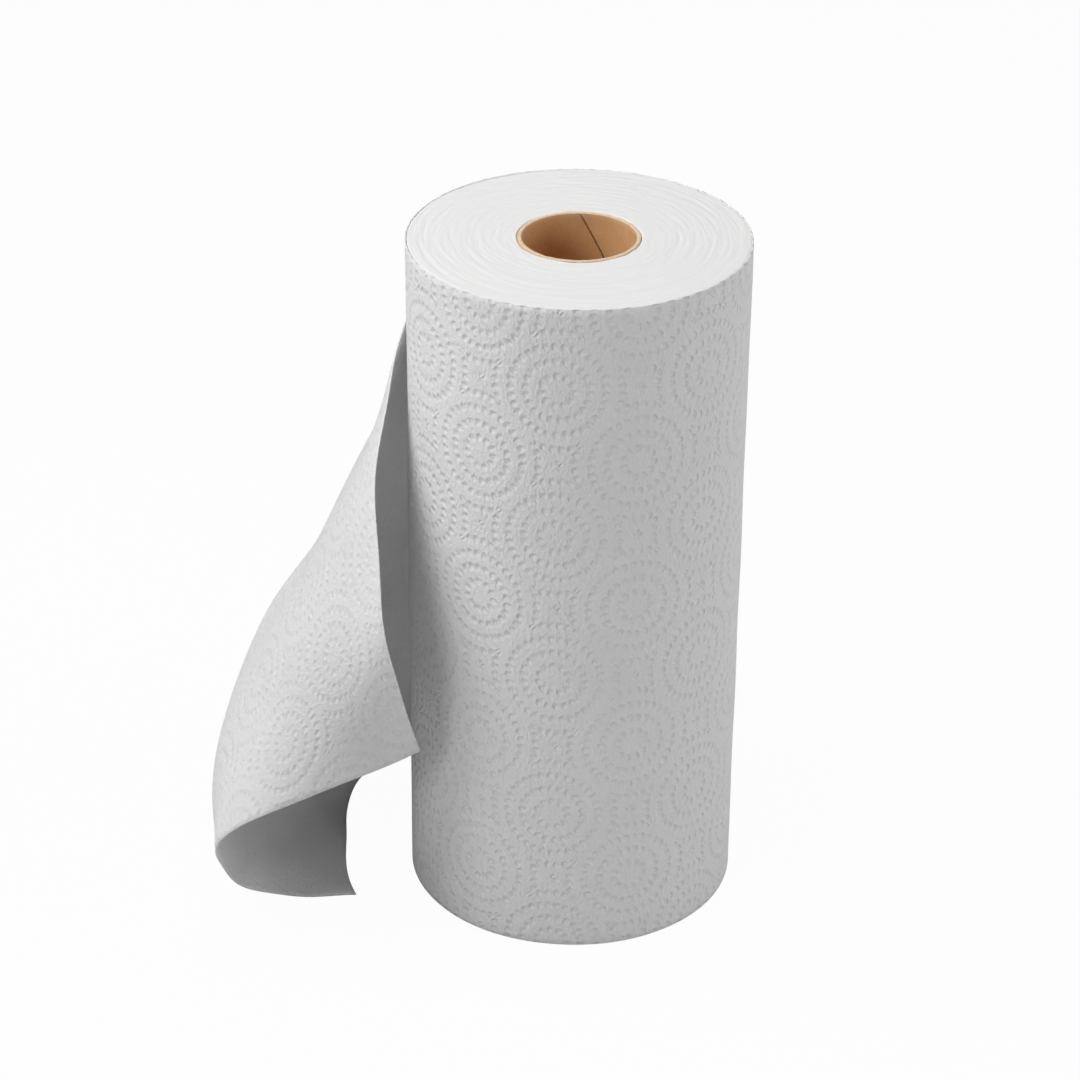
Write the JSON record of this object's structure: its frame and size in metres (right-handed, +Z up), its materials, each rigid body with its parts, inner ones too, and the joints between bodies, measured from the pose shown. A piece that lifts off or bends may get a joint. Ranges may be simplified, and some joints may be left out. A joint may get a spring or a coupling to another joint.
{
  "type": "paper towel roll",
  "caption": "Roll of embossed white paper towel on a cardboard tube, standing on end with one sheet hanging loose at the side.",
  "frame": {"origin": "on the roll's axis, level with the end it stands on", "axes": "+Z up the roll's axis; -Y is the front, and the loose sheet hangs at the left, towards -X"},
  "size_m": [0.2098, 0.1937, 0.2794],
  "materials": {
    "cardboard": "plain grey-brown spiral-wound cardboard, matt",
    "paper": "soft white embossed two-ply tissue, matt"
  },
  "bodies": {
    "root": {"cardboard_core": "cardboard", "towel_paper": "paper"}
  },
  "joints": []
}
